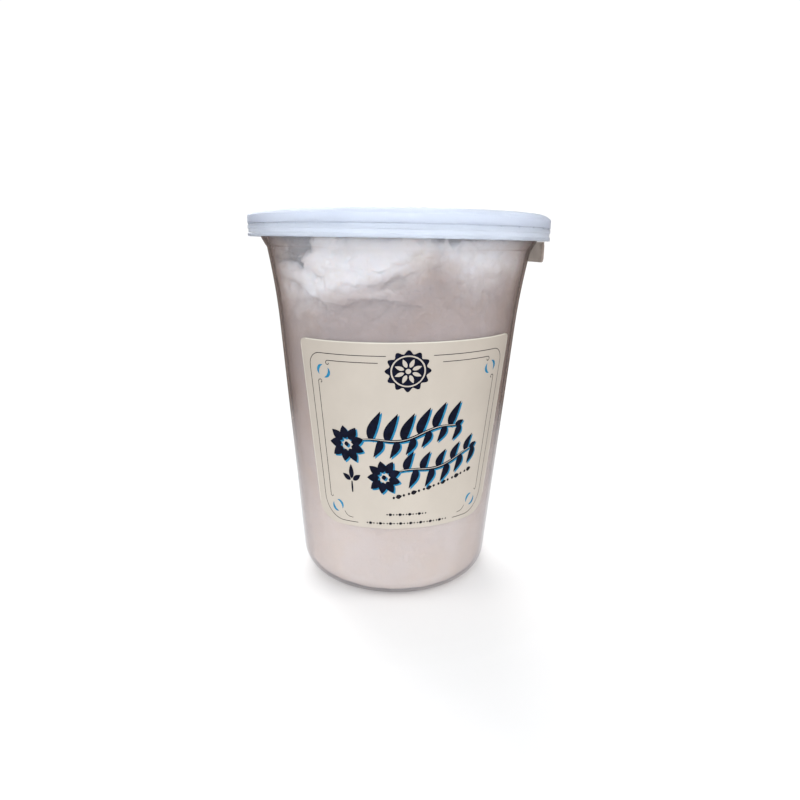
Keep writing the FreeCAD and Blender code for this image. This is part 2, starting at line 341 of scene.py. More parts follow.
def tab_plastic():
    """The pull tab: clearer plastic than the lid, with a brownish diffuse share that is painted shade,
    standing in for the dark surroundings seen through the thin plate.
    """
    mat = material("tab_plastic")
    waves = bump(mat, noise(mat, 90.0, 2.0), 0.15, 0.0005)
    gloss = node(mat, "BsdfGlossy", Color=(0.95, 0.95, 0.95, 1), Roughness=0.12, Normal=waves)
    # Painted shade: a brownish diffuse colour for the dark surroundings seen through the clear plate.
    seen_through_shade = node(mat, "BsdfDiffuse", Color=(*srgb(150, 132, 122), 1), Normal=waves)
    through = node(mat, "BsdfTransparent", Color=(0.86, 0.83, 0.80, 1))
    cloud = ramp(mat, noise(mat, 160.0, 3.0), [(0.3, grey(0.38)), (0.7, grey(0.6))])
    body = node(mat, "MixShader", Fac=cloud, i1=through, i2=seen_through_shade)
    return skinned(mat, body, gloss, waves, 0.05)


def paper(name, colour, rough):
    """Coated label paper with a faint fibre grain."""
    mat = material(name)
    fibre = noise(mat, 1400.0, 4.0, 0.6, (1, 1, 0.35))
    light = tuple(min(1.0, c * 1.03) for c in colour)
    dark = tuple(c * 0.955 for c in colour)
    tint = ramp(mat, noise(mat, 70.0, 5.0), [(0.3, dark), (0.7, light)])
    grain = bump(mat, fibre, 0.12, 0.0001)
    shader = node(mat, "BsdfPrincipled", Base_Color=tint, Roughness=rough, IOR=1.45, Normal=grain)
    return finish_material(mat, shader)


def ink(name, dark, light):
    """Printing ink with slightly uneven cover."""
    mat = material(name)
    tint = ramp(mat, noise(mat, 500.0, 4.0), [(0.35, dark), (0.75, light)])
    shader = node(mat, "BsdfPrincipled", Base_Color=tint, Roughness=0.5, IOR=1.15)
    return finish_material(mat, shader)


def slope(mat, direction):
    """How far a place lies along a direction, in that direction's own length."""
    where = node(mat, "TexCoord")
    made = node(mat, "VectorMath", set_operation="DOT_PRODUCT", i0=where.outputs["Object"], i1=direction)
    return made.outputs["Value"]


def spun_sugar():
    """Floss: fine tangled fibres, coloured with painted light by height: near-white at the top, a darker
    painted shade in a band below that, warm beige lower down.
    """
    mat = material("spun_sugar")
    # Painted light and shade: the level climbs with height, and sooner towards the front left, so the white
    # top reaches lower where the bright folds are.
    folds = slope(mat, (-3.2, -1.7, 6.35))
    height = slope(mat, (1.2, 0.9, 6.85))
    painted_light_level = node(mat, "Math", set_operation="MAXIMUM", i0=folds, i1=height)
    painted_light_tone = ramp(
        mat,
        multiply_add(mat, noise(mat, 40.0, 4.0), 0.17, painted_light_level),
        [
            (0.20, (0.58, 0.50, 0.44)), (0.42, (0.62, 0.53, 0.47)), (0.68, (0.48, 0.39, 0.335)),
            (0.80, (0.455, 0.37, 0.33)), (0.89, (0.425, 0.355, 0.325)), (0.935, (0.52, 0.46, 0.435)),
            (0.97, (0.70, 0.66, 0.645)), (1.0, (0.96, 0.98, 1.0)),
        ],
    )
    cream = ramp(mat, noise(mat, 55.0, 4.0, 0.6), [(0.45, (1, 1, 1)), (0.68, (1.0, 0.955, 0.88))])
    mixed = node(mat, "Mix", set_data_type="RGBA", set_blend_type="MULTIPLY", i0=1.0, i6=painted_light_tone, i7=cream)
    coarse = noise(mat, 220.0, 8.0, 0.66, (1, 1, 1), 1.6)
    fibres = noise(mat, 700.0, 6.0, 0.7, (1, 1, 0.25), 2.2)
    across = noise(mat, 650.0, 6.0, 0.7, (0.3, 0.3, 1), 2.5)
    crossed = node(mat, "Math", set_operation="ADD", i0=fibres, i1=across)
    heap = multiply_add(mat, coarse, 1.6, crossed)
    shader = node(
        mat, "BsdfPrincipled", Base_Color=mixed.outputs[2], Roughness=0.92, IOR=1.2,
        Subsurface_Weight=0.75, Subsurface_Radius=(1.0, 0.86, 0.78), Subsurface_Scale=0.0045,
        Sheen_Weight=0.25, Sheen_Roughness=0.6, Normal=bump(mat, heap, 0.6, 0.0007),
    )
    return finish_material(mat, shader)


CLEAR = clear_plastic()
MILKY = milky_plastic()
TAB = tab_plastic()
SUGAR = spun_sugar()
CREAM = paper("label_paper", srgb(186, 179, 169), 0.5)
PALE = paper("label_edge_paper", srgb(214, 211, 200), 0.5)
NAVY = ink("navy_ink", srgb(11, 13, 26), srgb(20, 24, 44))
BLUE = ink("blue_ink", srgb(28, 108, 148), srgb(54, 138, 176))
FINE = ink("line_ink", srgb(22, 20, 26), srgb(40, 38, 46))


def dress(obj, mat):
    """Gives an object its one material."""
    obj.data.materials.clear()
    obj.data.materials.append(mat)
    return obj


# ---- tub
def make_tub():
    """The clear tub, turned from the foot up the outside, over the rim and down the inside."""
    foot_in = CORNER_X - FOOT_WIDTH
    draft = math.degrees(DRAFT)
    flare = np.linspace(FLARE_Z, LEDGE_Z, 22)
    cone = np.linspace(14.0, FLARE_Z, 10)
    points = [(AXIS_R, FOOT_LIFT, 0), (foot_in - FOOT_SLOPE, FOOT_LIFT, 0.4), (foot_in, 0.0, 0.3)]
    points += arc(CORNER_X, CORNER_R, CORNER_R, -90, -draft, 18)
    points += [(float(wall_r(z)), float(z), 0) for z in cone[:-1]]
    points += [(float(wall_r(z)), float(z), 0) for z in flare[:-1]]
    points += [(LEDGE_R, LEDGE_Z, 0.12), (LEDGE_R + LEDGE_STEP, LEDGE_Z + LEDGE_STEP, 0.15)]
    points += [(NECK_R, NECK_Z, 1.2)]
    points += [(NECK_R, RIM_TOP - WALL, 0.3), (RIM_R - WALL, RIM_TOP - WALL, 0.3)]
    points += [(RIM_R - WALL, RIM_TOP - RIM_DROP, 0.25), (RIM_R, RIM_TOP - RIM_DROP, 0.25)]
    points += [(RIM_R, RIM_TOP, 0.8), (NECK_R - WALL, RIM_TOP, 0.8)]
    points += [(NECK_R - WALL, NECK_Z, 1.2), (LEDGE_R + LEDGE_STEP - WALL, LEDGE_Z + LEDGE_STEP, 0.15)]
    points += [(LEDGE_R - WALL, LEDGE_Z, 0.12)]
    points += [(float(wall_r(z)) - WALL, float(z), 0) for z in flare[::-1][1:]]
    points += [(float(wall_r(z)) - WALL, float(z), 0) for z in cone[::-1][1:]]
    points += arc(CORNER_X, CORNER_R, CORNER_R - WALL, -draft, -90, 18)
    points += [(foot_in - FOOT_SLOPE, FOOT_LIFT + WALL, 0.6), (AXIS_R, FOOT_LIFT + WALL, 0)]
    tub = lathe("tub_shell", filleted(points), "tub", segments=288, sharp=40)
    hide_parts("tub")
    return dress(tub, CLEAR)


# ---- lid, tear strip and pull tab
LID_R = 59.0
LID_TOP = 148.0
LID_EDGE_Z = 146.0
LID_CREST_OUT = 54.8
LID_CREST_IN = 53.4
SKIRT_IN = 58.1
SKIRT_Z = 143.05
SEAT_Z = 147.1
PANEL_TOP = 142.6
PANEL_UNDER = 141.8
PLUG_R = 53.1
PLUG_BEAD = 0.22
PLUG_BEAD_Z = 144.6
PLUG_BEAD_HALF = 0.44


def bead(inner, outer, flank, lift, low_round, top_round):
    """A ring raised or sunk on the lid's panel, as corners of its profile."""
    top = PANEL_TOP + lift
    raised = [(inner + flank, top, top_round), (outer - flank, top, top_round)]
    return [(inner, PANEL_TOP, low_round)] + raised + [(outer, PANEL_TOP, low_round)]


def shoulder(flat_r, top, end_r, end_z, steps=8):
    """An arc that leaves a level top at flat_r and ends at (end_r, end_z)."""
    width, drop = end_r - flat_r, top - end_z
    radius = (width**2 + drop**2) / (2 * drop)
    full = math.atan2(width, radius - drop)
    turns = np.linspace(0, full, steps)
    return [(flat_r + radius * math.sin(t), top - radius * (1 - math.cos(t)), 0) for t in turns]


def make_lid():
    """The milky lid, turned from the panel's middle out over the crest and back underneath."""
    points = [(AXIS_R, PANEL_TOP, 0)]
    points += bead(9.0, 10.6, 0.4, -0.25, 0, 0.3)
    points += bead(30.8, 32.6, 0.35, 0.7, 0.3, 0.25)
    points += bead(45.0, 46.0, 0.25, 0.25, 0.2, 0.15)
    points += [(51.5, PANEL_TOP, 0.9)]
    points += shoulder(LID_CREST_IN, LID_TOP, 52.2, SEAT_Z)[::-1][:-1]
    points += shoulder(LID_CREST_OUT, LID_TOP, LID_R, LID_EDGE_Z, 12)
    points += [(LID_R, SKIRT_Z, 0.2), (SKIRT_IN, SKIRT_Z, 0.2), (SKIRT_IN, SEAT_Z, 1.2)]
    points += [(PLUG_R + 0.5, SEAT_Z, 0.4), (PLUG_R, SEAT_Z - 0.5, 0.3)]
    points += [(PLUG_R, PLUG_BEAD_Z + PLUG_BEAD_HALF, 0.2), (PLUG_R + PLUG_BEAD, PLUG_BEAD_Z, 0.3)]
    points += [(PLUG_R, PLUG_BEAD_Z - PLUG_BEAD_HALF, 0.2)]
    points += [(52.4, PANEL_TOP, 0.3), (51.6, PANEL_UNDER, 0.4), (AXIS_R, PANEL_UNDER, 0)]
    lid = lathe("lid_shell", filleted(points), "lid", segments=288, sharp=40)
    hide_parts("lid")
    return dress(lid, MILKY)


STRIP_START = 1.0
PEEL_FROM = 101.0
STRIP_END = 355.0
LINKS = 4
PITCH = (PEEL_FROM - STRIP_START) / LINKS
STRIP_LOW = 138.4
STRIP_TOP = 142.55
WAIST_R = 58.72
HOOK_R = 56.5
HOOK_TOP = 141.7
HOOK_LOW = 140.5
NIB_PITCH = 9.0
NIB_IN, NIB_OUT = 58.35, 58.8


def strip_profile():
    """The strip's section: a waisted outer face, and a hook that reaches in under the tub's rim."""
    outer = [(LID_R, STRIP_LOW, 0.25), (LID_R, 139.6, 0.2), (WAIST_R, 139.9, 0.2), (WAIST_R, 141.05, 0.2)]
    top = [(LID_R, 141.35, 0.2), (LID_R, STRIP_TOP, 0.2), (SKIRT_IN, STRIP_TOP, 0.2)]
    hook = [(SKIRT_IN, HOOK_TOP, 0.2), (HOOK_R + 0.3, HOOK_TOP, 0.15), (HOOK_R, HOOK_TOP - 0.3, 0.15)]
    return filleted(outer + top + hook + [(SKIRT_IN, HOOK_LOW, 0.3), (SKIRT_IN, STRIP_LOW, 0.25)], 3)


def nib_boxes(start, end):
    """The thin bridges between the strip's top edge and the skirt above it."""
    verts, faces = [], []
    count = max(1, round((end - start) / NIB_PITCH))
    for k in range(count):
        turn = math.radians(start + (end - start) * (k + 0.5) / count)
        out = np.array([math.cos(turn), math.sin(turn), 0])
        side = np.array([-math.sin(turn), math.cos(turn), 0])
        base = len(verts)
        for z, half in ((142.5, 0.5), (142.97, 0.28)):
            for r, s in ((NIB_IN, -1), (NIB_OUT, -1), (NIB_OUT, 1), (NIB_IN, 1)):
                verts.append(out * r + side * half * s + np.array([0, 0, z]))
        faces += [(base + i, base + (i + 1) % 4, base + 4 + (i + 1) % 4, base + 4 + i) for i in range(4)]
        faces += [(base + 4, base + 5, base + 6, base + 7)]
    return verts, faces


def strip_piece(name, start, end, segments):
    """A length of the strip between two angles, with its nibs in the same mesh."""
    obj = lathe(name, strip_profile(), None, start, end, segments)
    verts, faces = nib_boxes(start + 1.0, end - 1.0)
    nibs = new_object(name + "_nibs", verts, faces)
    section = [(58.3, 142.4), (58.55, 142.4), (58.55, 142.98), (58.3, 142.98)]
    web = lathe(name + "_web", section, None, start, end, segments)
    with bpy.context.temp_override(active_object=obj, selected_editable_objects=[obj, nibs, web]):
        bpy.ops.object.join()
    return dress(obj, MILKY)


def make_strip():
    """The strip: the length held under the rim, a piece across each joint, and the tip."""
    held = strip_piece("tear_strip_held", PEEL_FROM + PITCH / 2, STRIP_END, 230)
    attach(held, "tub")
    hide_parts("tear_strip")
    for i in range(LINKS):
        seam = PEEL_FROM - i * PITCH
        piece = strip_piece(f"tear_strip_bend_{i + 1}", seam - PITCH / 2, seam + PITCH / 2, 40)
        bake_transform(piece)
        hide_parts(f"strip_link_{i + 1}")
    tip = strip_piece("tear_strip_tip", STRIP_START, STRIP_START + PITCH / 2, 20)
    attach(tip, f"strip_{LINKS}")
    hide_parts(f"strip_link_{LINKS}")


TAB_LOW, TAB_HIGH = 130.1, 138.25
TAB_FROM, TAB_TO = 1.5, 19.5
TAB_R, TAB_BACK_R, TAB_MOST_R = 58.7, 57.9, 58.95
TAB_CORNER = 2.4
TAB_FRAME, TAB_FRAME_LIFT = 0.9, 0.12
RIB_PITCH, RIB_HALF, RIB_LIFT = 1.7, 0.35, 0.25
RIB_FIRST = TAB_LOW + 2.0


def tab_lift(side, z, edge):
    """How far the tab's face stands out: its frame near the edge, and the grip ribs inside."""
    lift = TAB_FRAME_LIFT if edge < TAB_FRAME and z < TAB_HIGH - 1.0 else 0.0
    if abs(side) < 0.66 and TAB_LOW + 1.6 < z < TAB_LOW + 6.0:
        off = (z - RIB_FIRST) % RIB_PITCH
        lift += RIB_LIFT * max(0.0, 1 - min(off, RIB_PITCH - off) / RIB_HALF)
    return lift


def make_tab():
    """The pull tab: a thin curved plate with rounded lower corners, a frame and grip ribs."""
    columns = np.linspace(-1, 1, 49)
    middle = math.radians((TAB_FROM + TAB_TO) / 2)
    half = math.radians(TAB_TO - TAB_FROM) / 2 * TAB_R
    split = TAB_LOW + TAB_CORNER
    rows = np.concatenate([np.linspace(TAB_LOW, split, 9)[:-1], np.linspace(split, TAB_HIGH, 30)])
    outer, inner = [], []
    for z in rows:
        under = max(0.0, split - z)
        reach = half - (TAB_CORNER - math.sqrt(max(0.0, TAB_CORNER**2 - under**2)))
        for side in columns:
            turn = middle + side * reach / TAB_R
            r = min(TAB_R + tab_lift(side, z, min(half - abs(side) * half, z - TAB_LOW)), TAB_MOST_R)
            outer.append(polar(r, turn, z))
            inner.append(polar(TAB_BACK_R, turn, z))
    verts = outer + inner
    faces = plate_faces(len(columns), len(rows))
    tab = new_object("pull_tab_plate", verts, faces, "tab", 30)
    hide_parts("pull_tab")
    return dress(tab, TAB)


# ---- noise for the floss
TABLE = rng.permutation(256)
SLOPES = rng.normal(size=(256, 3))
SLOPES /= np.linalg.norm(SLOPES, axis=1)[:, None]


def gradient_noise(points):
    """Smooth noise of about -1 to 1, one cell a unit."""
    cell = np.floor(points).astype(int)
    inside = points - cell
    ease = inside**3 * (inside * (inside * 6 - 15) + 10)
    total = np.zeros(len(points))
    for corner in itertools.product((0, 1), repeat=3):
        at = np.array(corner)
        key = cell + at
        index = TABLE[(TABLE[(TABLE[key[:, 0] & 255] + key[:, 1]) & 255] + key[:, 2]) & 255]
        share = np.where(at, ease, 1 - ease).prod(1)
        total += share * ((inside - at) * SLOPES[index]).sum(1)
    return total * 1.6


def layered(points, size, octaves=4, gain=0.5, puffy=False):
    """Noise in several sizes, the largest size millimetres; puffy noise has round bumps and sharp creases."""
    total, weight = np.zeros(len(points)), 1.0
    for octave in range(octaves):
        value = gradient_noise(points / size * 2**octave + 17.3 * octave)
        total += weight * (np.abs(value) * 2 - 0.6 if puffy else value)
        weight *= gain
    return total


# ---- cotton candy
CORE_LOW, CORE_MIDDLE_TOP = 2.5, 137.4
DIP_TOP, DIP_RISE = 124.5, 14.5
NOTCHES = (14.3, 21.2)
NOTCH_HALF, NOTCH_DEPTH = 2.6, 5.0
TIGHT, LOOSE, LOOSE_ELSEWHERE = 0.4, 4.6, 4.4
FLOSS_LOW, CROWN, CROWN_SOFT = 2.4, 139.2, 2.0
COARSE_SIZE, COARSE_LIFT = 7.5, 1.15
FINE_SIZE, FINE_LIFT = 2.4, 0.36
VOXEL = 0.8


def ball(turn, height, sink, radii):
    """A puff on the wall: an ellipsoid whose outer side stands sink millimetres into the wall."""
    angle = math.radians(turn - 90.0)
    r = float(inner_r(height)) - radii[0] + sink
    return np.array([r * math.cos(angle), r * math.sin(angle), height]), radii, angle


def ball_mesh(puff):
    """A puff's points and faces."""
    centre, radii, angle = puff
    across, up = 20, 12
    lat = np.pi * np.arange(up + 1)[:, None] / up
    lon = 2 * np.pi * np.arange(across)[None, :] / across
    x = radii[0] * np.sin(lat) * np.cos(lon)
    y = radii[1] * np.sin(lat) * np.sin(lon)
    z = radii[2] * np.cos(lat) + 0 * lon
    local = np.stack([x, y, z], -1).reshape(-1, 3)
    c, s = math.cos(angle), math.sin(angle)
    verts = local @ np.array([[c, s, 0], [-s, c, 0], [0, 0, 1]]) + centre
    return verts.tolist(), ring_faces(0, up, across)


def core_mesh():
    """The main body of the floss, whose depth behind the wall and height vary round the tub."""
    around, levels = 120, 60
    verts, faces = [(0, 0, CORE_LOW), (0, 0, CORE_MIDDLE_TOP)], []
    for turn in np.arange(around) * 360 / around:
        angle = math.radians(turn - 90.0)
        for z in np.linspace(CORE_LOW, core_top(turn), levels):
            r = float(inner_r(z)) - core_inset(turn, z)
            verts.append(polar(r, angle, z))
    for i in range(around):
        a, b = 2 + i * levels, 2 + ((i + 1) % around) * levels
        faces += [(a + k, b + k, b + k + 1, a + k + 1) for k in range(levels - 1)]
        faces += [(0, b, a), (1, a + levels - 1, b + levels - 1)]
    return verts, faces


def away(turn, middle):
    """Degrees between two turns, from 0 to 180."""
    return abs((turn - middle + 180) % 360 - 180)


def core_top(turn):
    """The floss stands up to the lid all round but for a dip at the front left and two small notches."""
    notches = sum(max(0.0, 1 - away(turn, middle) / NOTCH_HALF) for middle in NOTCHES)
    return DIP_TOP + DIP_RISE * float(rise(away(turn, -62), 28, 33)) - NOTCH_DEPTH * notches


def core_inset(turn, z):
    """The floss loosens towards the top, most at the front left, where the folds hang free."""
    free = LOOSE - LOOSE_ELSEWHERE * float(rise(away(turn, -32), 26, 46))
    return TIGHT + float(rise(z, 101, 124)) * free


def remeshed(parts, voxel):
    """All the parts joined into one skin. The mesh is in millimetres."""
    verts, faces = [], []
    for some_verts, some_faces in parts:
        base = len(verts)
        verts += [tuple(v) for v in some_verts]
        faces += [tuple(base + i for i in f) for f in some_faces]
    mesh = bpy.data.meshes.new("raw_floss")
    mesh.from_pydata(verts, [], faces)
    raw = add_object("raw_floss", mesh)
    skin = raw.modifiers.new("skin", "REMESH")
    skin.mode = "VOXEL"
    skin.voxel_size = voxel
    relax = raw.modifiers.new("relax", "SMOOTH")
    relax.factor = 0.5
    relax.iterations = 3
    graph = bpy.context.evaluated_depsgraph_get()
    result = bpy.data.meshes.new_from_object(raw.evaluated_get(graph))
    bpy.data.objects.remove(raw)
    return result


def rise(value, low, high):
    """0 below low, 1 above high, smooth between."""
    t = np.clip((np.asarray(value, float) - low) / (high - low), 0, 1)
    return t * t * (3 - 2 * t)


def fluff(puffs):
    """All the floss: its core and puffs in one skin, roughened, then pressed against the wall.

    The points and normals where it hangs free of the wall are returned.
    """
    mesh = remeshed([core_mesh()] + [ball_mesh(p) for p in puffs], VOXEL)
    co = np.zeros(len(mesh.vertices) * 3)
    mesh.vertices.foreach_get("co", co)
    normal = np.zeros(len(mesh.vertices) * 3)
    mesh.vertex_normals.foreach_get("vector", normal)
    co, normal = co.reshape(-1, 3), normal.reshape(-1, 3)
    loose = 0.3 + 0.7 * rise(co[:, 2], 100, 124)
    coarse = layered(co * (1, 1, 1.35), COARSE_SIZE, 4, 0.6, True)
    fine = layered(co * (1, 1, 0.8) + 50.0, FINE_SIZE, 2, 0.6, True)
    co = co + normal * (loose * (COARSE_LIFT * coarse + FINE_LIFT * fine))[:, None]
    radius = np.hypot(co[:, 0], co[:, 1])
    hold = inner_r(co[:, 2]) - 0.14 - 0.05 * (1 + layered(co, 5.0, 3))
    soft = 0.25 + 0.6 * loose
    pressed = hold - soft * np.logaddexp(0, (hold - radius) / soft)
    co[:, :2] *= (pressed / np.maximum(radius, 1e-6))[:, None]
    over = np.maximum(co[:, 2] - CROWN, 0)
    co[:, 2] = np.maximum(co[:, 2] - over + CROWN_SOFT * np.tanh(over / CROWN_SOFT), FLOSS_LOW)
    mesh.vertices.foreach_set("co", (co * MM).ravel())
    mesh.update()
    mesh.shade_smooth()
    obj = add_object("floss", mesh)
    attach(obj, "tub")
    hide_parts(*[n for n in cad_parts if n.startswith("floss_")])
    dress(obj, SUGAR)
    free = (hold - radius > 0.6) & (co[:, 2] > 106)
    return co[free], normal[free]


def scattered(count, turns, heights, sizes, sink, seed):
    """Puffs of mixed size spread over a patch of the wall."""
    pick = np.random.default_rng(seed)
    out = []
    for _ in range(count):
        size = pick.uniform(*sizes)
        radii = (size * pick.uniform(0.7, 1.0), size * pick.uniform(0.9, 1.6), size * pick.uniform(0.5, 0.85))
        out.append(ball(pick.uniform(*turns), pick.uniform(*heights), pick.uniform(*sink), radii))
    return out


def heaped(count, turns, top, sizes, reach, seed):
    """Puffs over the open top of the floss."""
    pick = np.random.default_rng(seed)
    out = []
    for _ in range(count):
        angle = math.radians(pick.uniform(*turns) - 90.0)
        size = pick.uniform(*sizes)
        r = math.sqrt(pick.uniform(0.02, 1.0)) * (reach - size * 0.6)
        radii = (size, size * pick.uniform(0.9, 1.4), size * pick.uniform(0.6, 0.85))
        z = top - radii[2] * pick.uniform(0.9, 1.15)
        out.append((np.array([r * math.cos(angle), r * math.sin(angle), z]), radii, angle))
    return out


def roll(points, thick, tall):
    """A fold of floss laid along (turn, height) points of the wall."""
    out = []
    steps = 6
    for (a, za), (b, zb) in zip(points, points[1:]):
        for k in range(steps):
            t = k / steps
            turn = a + (b - a) * t
            swing = 1 + 0.16 * math.sin(2.4 * turn)
            radii = (thick * swing, thick * 1.3, tall * swing)
            out.append(ball(turn, za + (zb - za) * t, 0.7, radii))
    return out


def make_floss():
    """The folds at the front, the heaps round the wall and over the top, then loose fibres and specks."""
    puffs = []
    for points, thick, tall in (
        ([(-70, 126.6), (-61, 126.4), (-53, 125.4), (-45, 123.6), (-38, 121.0), (-33, 118.4)], 4.2, 3.2),
        ([(-35, 121.0), (-28, 123.4), (-20, 124.4), (-11, 124.6)], 4.6, 2.6),
        ([(-31, 117.4), (-22, 118.4), (-14, 119.8)], 4.4, 2.6),
        ([(-3, 120.2), (1, 118.4), (6, 117.8), (10, 118.4)], 4.2, 2.0),
        ([(-29, 138.0), (-31, 134.6), (-35, 132.0), (-40, 129.6)], 4.6, 3.6),
        ([(-34, 128.4), (-26, 128.6), (-18, 129.2), (-10, 127.6)], 4.8, 3.2),
    ):
        puffs += roll(points, thick, tall)
    for patch in (
        (14, (-22, -6), (129, 138), (4, 7), (-1.8, 0.6), 21),
        (10, (-6, 14), (126, 138), (5, 8), (-1.6, 0.6), 22),
        (8, (-34, 8), (104, 110), (6, 9), (-1.0, 0.4), 27),
        (30, (60, 122), (116, 138), (5, 9), (-1.0, 1.0), 23),
        (110, (120, 267), (108, 137), (5, 9), (-0.6, 1.4), 24),
        (10, (-90, -40), (104, 114), (6, 9), (-1.6, -0.2), 25),
    ):
        puffs += scattered(*patch)
    for heap in (
        (14, (-88, -46), 127.5, (4, 6), 42, 28),
        (22, (-26, 14), 140.0, (5, 8), 46, 29),
        (36, (14, 120), 139.8, (4, 6), 42, 30),
        (60, (120, 258), 140.0, (5, 8), 47, 31),
        (44, (0, 360), 140.0, (5, 8), 30, 32),
    ):
        puffs += heaped(*heap)
    puffs += roll([(-94, 138.0), (-96, 134.0), (-94, 130.5), (-90, 127.0), (-80, 125.0)], 4.6, 3.4)
    make_wisps(1700, *fluff(puffs))
    make_crumbs(34)


def make_crumbs(count):
    """Specks of sugar that cling to the wall where the floss stands low."""
    pick = np.random.default_rng(50)
    verts, faces = [], []
    for _ in range(count):
        size = pick.uniform(0.16, 0.42)
        radii = (size * 0.6, size * pick.uniform(0.8, 1.7), size * pick.uniform(0.7, 1.2))
        place = (pick.uniform(-72, -42), pick.uniform(130.0, 137.5))
        some_verts, some_faces = ball_mesh(ball(*place, -0.12, radii))
        base = len(verts)
        verts += some_verts
        faces += [tuple(base + i for i in f) for f in some_faces]
    dress(new_object("floss_crumbs", verts, faces, "tub", 0), SUGAR)


def make_wisps(count, places, normals):
    """Loose fibres that lie over the open parts of the floss, each a fine curled thread."""
    pick = np.random.default_rng(40)
    chosen = pick.choice(len(places), count, replace=False)
    steps, sides = 9, 3
    verts, faces = [], []
    for index in chosen:
        here, normal = places[index].copy(), normals[index]
        heading = np.cross(normal, pick.normal(size=3))
        heading /= max(np.linalg.norm(heading), 1e-6)
        length = pick.uniform(3.0, 9.0)
        bend = pick.normal(size=3) * 0.32
        lift = pick.uniform(0.02, 0.12)
        thick = pick.uniform(0.035, 0.07)
        base = len(verts)
        for k in range(steps):
            heading = heading + bend / steps * 2 + normal * (lift if k < steps / 2 else -lift)
            heading /= np.linalg.norm(heading)
            here = here + heading * length / steps
            reach = np.hypot(here[0], here[1])
            most = float(inner_r(here[2])) - 0.15
            if reach > most:
                here[:2] *= most / reach
            here[2] = min(here[2], 141.5)
            side = np.cross(heading, normal + 0.01)
            side /= max(np.linalg.norm(side), 1e-6)
            up = np.cross(side, heading)
            wide = thick * (1 - 0.6 * k / steps)
            for j in range(sides):
                turn = 2 * math.pi * j / sides
                verts.append(here + (side * math.cos(turn) + up * math.sin(turn)) * wide)
        for k, j in itertools.product(range(steps - 1), range(sides)):
            a, b = base + k * sides + j, base + k * sides + (j + 1) % sides
            faces.append((a, b, b + sides, a + sides))
    dress(new_object("floss_wisps", verts, faces, "tub", 0), SUGAR)


# ---- labels
LABEL_TURN = 6.5
LABEL_TILT = math.radians(1.3)
LABEL_MIDDLE_Z = 68.0
LABEL_MM_PER_DEGREE = 0.778
LABEL_SPREAD = 0.0015
BACK_MIDDLE_Z = 67.0
BACK_R = 44.5
BACK_HALF_W, BACK_HALF_H = 27.2, 25.0
GLUE = 0.1
PAPER_T = 0.2


def on_front_label(x, h, lift):
    """A point of the front label's own plane, wrapped on the cone."""
    turn = x / LABEL_MM_PER_DEGREE * (1 + LABEL_SPREAD * h)
    side = math.radians(turn)
    z = LABEL_MIDDLE_Z + h
    z += math.tan(LABEL_TILT) * float(wall_r(z)) * math.sin(side)
    r = float(wall_r(z)) + GLUE + lift
    angle = math.radians(LABEL_TURN + turn - 90.0)
    return polar(r, angle, z)


def on_back_label(x, h, lift):
    """A point of the back label's own plane, wrapped on the cone."""
    z = BACK_MIDDLE_Z + h
    r = float(wall_r(z)) + GLUE + lift
    angle = math.radians(90.0) + x / BACK_R
    return polar(r, angle, z)


def sheet_of_paper(name, place, half_w, low, high, corners, slot, replaced):
    """A label: a rounded outline filled row by row, with a front, a back and a cut edge.

    corners holds the width and height of the lower corners, then of the upper ones.
    """
    low_rx, low_ry, top_rx, top_ry = corners
    rows = np.unique(np.concatenate([
        low + low_ry * (1 - np.cos(np.linspace(0, math.pi / 2, 12))),
        np.linspace(low + low_ry, high - top_ry, 70),
        high - top_ry * (1 - np.cos(np.linspace(0, math.pi / 2, 8))),
    ]))
    columns = np.linspace(-1, 1, 111)
    front, back = [], []
    for h in rows:
        under = min(1.0, max(0.0, low + low_ry - h) / low_ry)
        over = min(1.0, max(0.0, h - high + top_ry) / top_ry)
        reach = half_w - low_rx * (1 - math.sqrt(1 - under**2)) - top_rx * (1 - math.sqrt(1 - over**2))
        for c in columns:
            front.append(place(c * reach, h, PAPER_T))
            back.append(place(c * reach, h, 0.0))
    faces = plate_faces(len(columns), len(rows))
    obj = new_object(name, front + back, faces, "tub", 50)
    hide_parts(replaced)
    return dress(obj, CREAM)


class Print:
    """Marks printed in one ink on a label, collected into one mesh."""

    def __init__(self, name, mat, place, lift, slot):
        self.name, self.mat, self.place, self.lift, self.slot = name, mat, place, lift, slot
        self.verts, self.faces = [], []

    def stroke(self, path, width, across=4, shift=(0.0, 0.0)):
        """A ribbon along path, a list of (x, h); width is a number or a function of 0 to 1."""
        path = np.array(path, float) + np.array(shift)
        along = np.gradient(path, axis=0)
        along /= np.maximum(np.linalg.norm(along, axis=1), 1e-9)[:, None]
        side = np.stack([-along[:, 1], along[:, 0]], 1)
        base = len(self.verts)
        last = len(path) - 1
        for k, (p, s) in enumerate(zip(path, side)):
            wide = width(k / last) if callable(width) else width
            for j in range(across + 1):
                q = p + s * wide * (j / across - 0.5)
                self.verts.append(self.place(float(q[0]), float(q[1]), self.lift))
        for k, j in itertools.product(range(last), range(across)):
            a = base + k * (across + 1) + j
            self.faces.append((a, a + across + 1, a + across + 2, a + 1))

    def disc(self, centre, outline, rings=5):
        """A filled round shape; outline is a function of the angle that gives the radius."""
        count = 96
        base = len(self.verts)
        for k in range(rings + 1):
            for j in range(count):
                angle = 2 * math.pi * j / count
                r = outline(angle) * max(k / rings, 0.004)
                x = centre[0] + r * math.cos(angle)
                h = centre[1] + r * math.sin(angle)
                self.verts.append(self.place(x, h, self.lift))
        self.faces += ring_faces(base, rings, count)

    def build(self):
        """Makes the mesh object."""
        return dress(new_object(self.name, self.verts, self.faces, "tub", 0), self.mat)


def line(a, b, steps=24):
    """A straight path."""
    return [(a[0] + (b[0] - a[0]) * k / steps, a[1] + (b[1] - a[1]) * k / steps) for k in range(steps + 1)]


def bow(centre, radius, start, end, steps=18):
    """A path along an arc, angles in degrees."""
    turns = np.radians(np.linspace(start, end, steps + 1))
    return [(centre[0] + radius * math.cos(t), centre[1] + radius * math.sin(t)) for t in turns]


